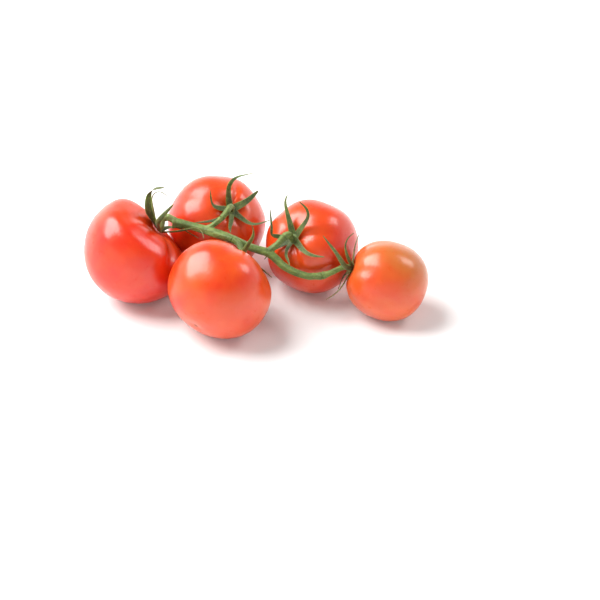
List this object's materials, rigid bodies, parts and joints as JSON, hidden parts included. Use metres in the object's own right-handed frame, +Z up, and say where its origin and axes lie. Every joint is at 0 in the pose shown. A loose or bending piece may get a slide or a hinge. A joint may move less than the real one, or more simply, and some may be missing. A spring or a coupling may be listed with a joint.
{
  "type": "truss of tomatoes",
  "caption": "Tomatoes on the vine, as picked: round red tomatoes hanging from one branched green stem, each with a star of sepals, lying on their sides.",
  "frame": {"origin": "on the surface that the truss lies on, at the middle of its bounding box", "axes": "+X along the truss from its cut end to the small tomato at its tip, +Z up, +Y towards the back row of tomatoes"},
  "size_m": [0.2224, 0.1432, 0.0814],
  "materials": {
    "ripe_skin": "smooth waxy tomato skin, bright red, clear highlights, faint paler specks",
    "turning_skin": "smooth waxy tomato skin, less ripe, orange red with an olive tinge on the shoulders",
    "stem": "matt green stem with fine ridges and short soft hairs, paler and drier at the cut end and the joints",
    "sepal": "matt dark green leaf, greyer on the underside, fine hairs, a paler midrib and dry brownish tips"
  },
  "bodies": {
    "root": {"main_stem": "stem", "tomato_1": "ripe_skin", "tomato_1_stalk": "stem", "tomato_1_sepal_1": "sepal", "tomato_1_sepal_2": "sepal", "tomato_1_sepal_3": "sepal", "tomato_1_sepal_4": "sepal", "tomato_1_sepal_5": "sepal", "tomato_2": "ripe_skin", "tomato_2_stalk": "stem", "tomato_2_sepal_1": "sepal", "tomato_2_sepal_2": "sepal", "tomato_2_sepal_3": "sepal", "tomato_2_sepal_4": "sepal", "tomato_2_sepal_5": "sepal", "tomato_2_sepal_6": "sepal", "tomato_3": "ripe_skin", "tomato_3_stalk": "stem", "tomato_3_sepal_1": "sepal", "tomato_3_sepal_2": "sepal", "tomato_3_sepal_3": "sepal", "tomato_3_sepal_4": "sepal", "tomato_3_sepal_5": "sepal", "tomato_4": "ripe_skin", "tomato_4_stalk": "stem", "tomato_4_sepal_1": "sepal", "tomato_4_sepal_2": "sepal", "tomato_4_sepal_3": "sepal", "tomato_4_sepal_4": "sepal", "tomato_4_sepal_5": "sepal", "tomato_4_sepal_6": "sepal", "tomato_5": "turning_skin", "tomato_5_stalk": "stem", "tomato_5_sepal_1": "sepal", "tomato_5_sepal_2": "sepal", "tomato_5_sepal_3": "sepal", "tomato_5_sepal_4": "sepal", "tomato_5_sepal_5": "sepal"}
  },
  "joints": []
}
